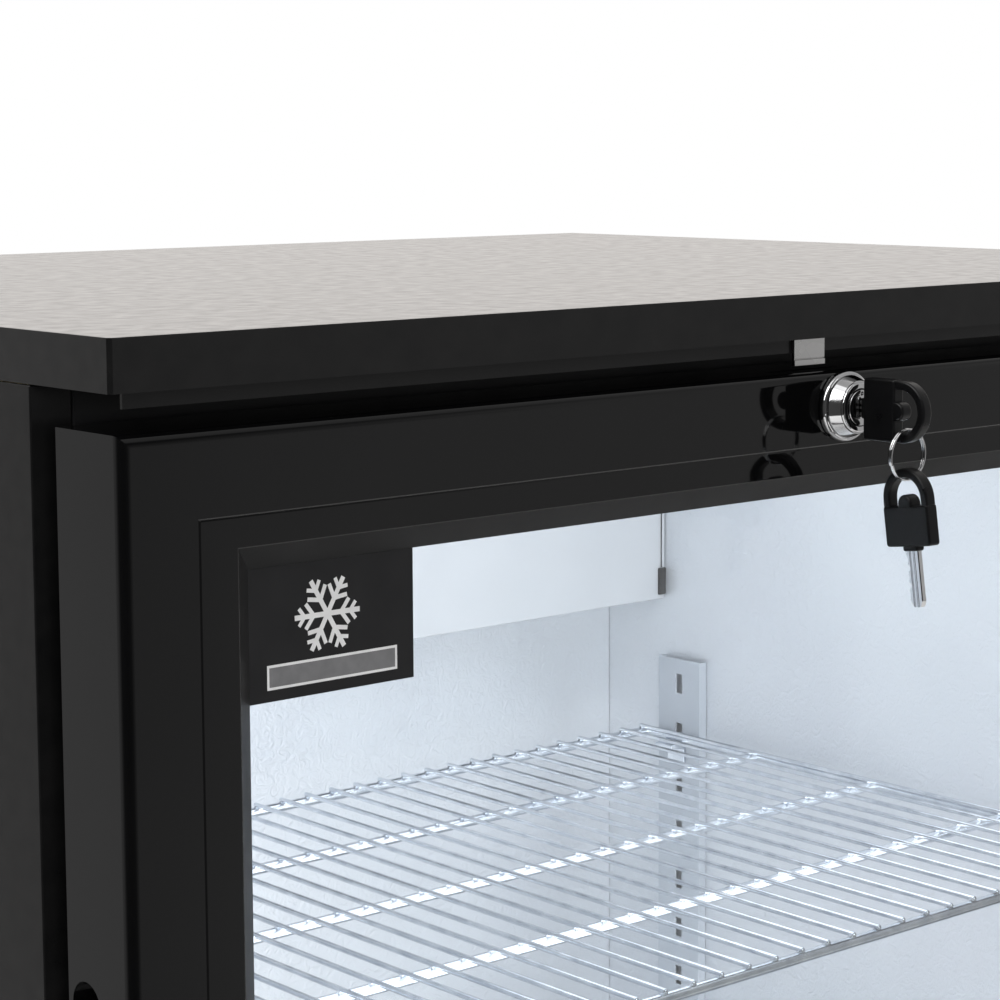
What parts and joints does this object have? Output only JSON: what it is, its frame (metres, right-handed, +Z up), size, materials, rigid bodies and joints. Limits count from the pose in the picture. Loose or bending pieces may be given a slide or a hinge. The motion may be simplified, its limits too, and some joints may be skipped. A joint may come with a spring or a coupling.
{
  "type": "under-counter fridge",
  "caption": "Upright box-shaped under-counter bottle cooler with a glazed hinged door, key lock, wire shelves and a rear cooling unit on levelling feet.",
  "frame": {"origin": "centre of the overall footprint on the floor", "axes": "+Z up from the floor to the top cover, +Y from the door to the back, +X to the hinge side"},
  "size_m": [0.6, 0.5404, 0.9],
  "materials": {
    "powder_coat": "fine textured black powder coat",
    "door_gloss": "high gloss black",
    "stucco": "stucco-embossed bright sheet",
    "black_plastic": "fine satin grain",
    "zinc": "bright zinc plate",
    "chrome": "polished plate",
    "glass": "clear float glass",
    "rubber": "matt black seal",
    "foam": "foamed-in-place polyurethane",
    "spacer": "mill finish",
    "copper": "bright copper tube",
    "fin": "mill finish fins",
    "compressor_paint": "satin black enamel",
    "led": "diffuser",
    "label": "printed film",
    "white_plastic": "satin moulded"
  },
  "bodies": {
    "cabinet": {"top_cover": "powder_coat", "side_panel_left": "powder_coat", "side_panel_right": "powder_coat", "rear_guard": "powder_coat", "rear_panel": "zinc", "base_pan": "zinc", "hinge_bracket_top": "zinc", "hinge_bracket_bottom": "zinc", "strike_plate": "zinc", "cord_gland": "black_plastic", "front_grille": "black_plastic", "control_panel": "black_plastic", "front_frame": "black_plastic", "evaporator_fan_motor": "black_plastic", "condenser_fan_motor": "black_plastic", "drip_tray": "black_plastic", "insulation": "foam", "liner_left": "stucco", "liner_right": "stucco", "liner_floor": "stucco", "liner_step": "stucco", "liner_back": "stucco", "liner_ceiling": "stucco", "evaporator_cover": "stucco", "pilaster_front_left": "stucco", "pilaster_front_right": "stucco", "pilaster_rear_left": "stucco", "pilaster_rear_right": "stucco", "clip_upper_front_left": "zinc", "clip_upper_front_right": "zinc", "clip_upper_rear_left": "zinc", "clip_upper_rear_right": "zinc", "clip_lower_front_left": "zinc", "clip_lower_front_right": "zinc", "clip_lower_rear_left": "zinc", "clip_lower_rear_right": "zinc", "evaporator_coil": "fin", "compressor": "compressor_paint", "condenser": "compressor_paint", "led_strip": "led"},
    "door": {"door_frame": "door_gloss", "outer_glass": "glass", "inner_glass": "glass", "glass_spacer": "spacer", "door_gasket": "rubber", "lock_housing": "chrome"},
    "lock_plug": {"lock_cylinder": "chrome", "lock_cam": "zinc"},
    "lock_key": {"key": "black_plastic"},
    "ring": {"key_ring": "chrome"},
    "hanging_key": {"spare_key": "black_plastic"},
    "evaporator_fan_wheel": {"evaporator_fan": "black_plastic"},
    "condenser_fan_wheel": {"condenser_fan": "black_plastic"},
    "upper_shelf": {"shelf_upper": "chrome"},
    "lower_shelf": {"shelf_lower": "chrome"},
    "switch_rocker": {"light_switch": "black_plastic"},
    "foot_front_left": {"foot_front_left": "black_plastic"},
    "foot_front_right": {"foot_front_right": "black_plastic"},
    "foot_rear_left": {"foot_rear_left": "black_plastic"},
    "foot_rear_right": {"foot_rear_right": "black_plastic"}
  },
  "joints": [
    {"name": "door_hinge", "type": "hinge", "parent": "cabinet", "child": "door", "pos_m": [0.285, -0.21093, 0.5], "axis": [0, 0, 1], "range_deg": [0, 105], "stiffness_Nm_per_rad": 0.5},
    {"name": "lock_turn", "type": "hinge", "parent": "door", "child": "lock_plug", "pos_m": [0, -0.22592, 0.86], "axis": [0, 1, 0], "range_deg": [0, 90]},
    {"name": "key_pull", "type": "slide", "parent": "lock_plug", "child": "lock_key", "axis": [0, -1, 0], "range_m": [0, 0.023]},
    {"name": "ring_swing", "type": "hinge", "parent": "lock_key", "child": "ring", "pos_m": [0, -0.25612, 0.851], "axis": [0, 1, 0], "range_deg": [-80, 80]},
    {"name": "hanging_key_swing", "type": "hinge", "parent": "ring", "child": "hanging_key", "pos_m": [0, -0.25612, 0.83665], "axis": [1, 0, 0], "range_deg": [-25, 25]},
    {"name": "evaporator_fan_spin", "type": "hinge", "parent": "cabinet", "child": "evaporator_fan_wheel", "pos_m": [-0.085, 0.14008, 0.782], "axis": [0, 1, 0], "continuous": true},
    {"name": "condenser_fan_spin", "type": "hinge", "parent": "cabinet", "child": "condenser_fan_wheel", "pos_m": [-0.165, 0.12308, 0.14], "axis": [0, 1, 0], "continuous": true},
    {"name": "upper_shelf_lift", "type": "slide", "parent": "cabinet", "child": "upper_shelf", "axis": [0, 0, 1], "range_m": [0, 0.02]},
    {"name": "lower_shelf_lift", "type": "slide", "parent": "cabinet", "child": "lower_shelf", "axis": [0, 0, 1], "range_m": [0, 0.02]},
    {"name": "light_switch_rock", "type": "hinge", "parent": "cabinet", "child": "switch_rocker", "pos_m": [-0.141, -0.20192, 0.066], "axis": [1, 0, 0], "range_deg": [0, 12]},
    {"name": "foot_front_left_screw", "type": "hinge", "parent": "cabinet", "child": "foot_front_left", "pos_m": [-0.262, -0.14793, 0.02], "axis": [0, 0, 1], "continuous": true},
    {"name": "foot_front_right_screw", "type": "hinge", "parent": "cabinet", "child": "foot_front_right", "pos_m": [0.262, -0.14793, 0.02], "axis": [0, 0, 1], "continuous": true},
    {"name": "foot_rear_left_screw", "type": "hinge", "parent": "cabinet", "child": "foot_rear_left", "pos_m": [-0.262, 0.21008, 0.02], "axis": [0, 0, 1], "continuous": true},
    {"name": "foot_rear_right_screw", "type": "hinge", "parent": "cabinet", "child": "foot_rear_right", "pos_m": [0.262, 0.21008, 0.02], "axis": [0, 0, 1], "continuous": true}
  ]
}
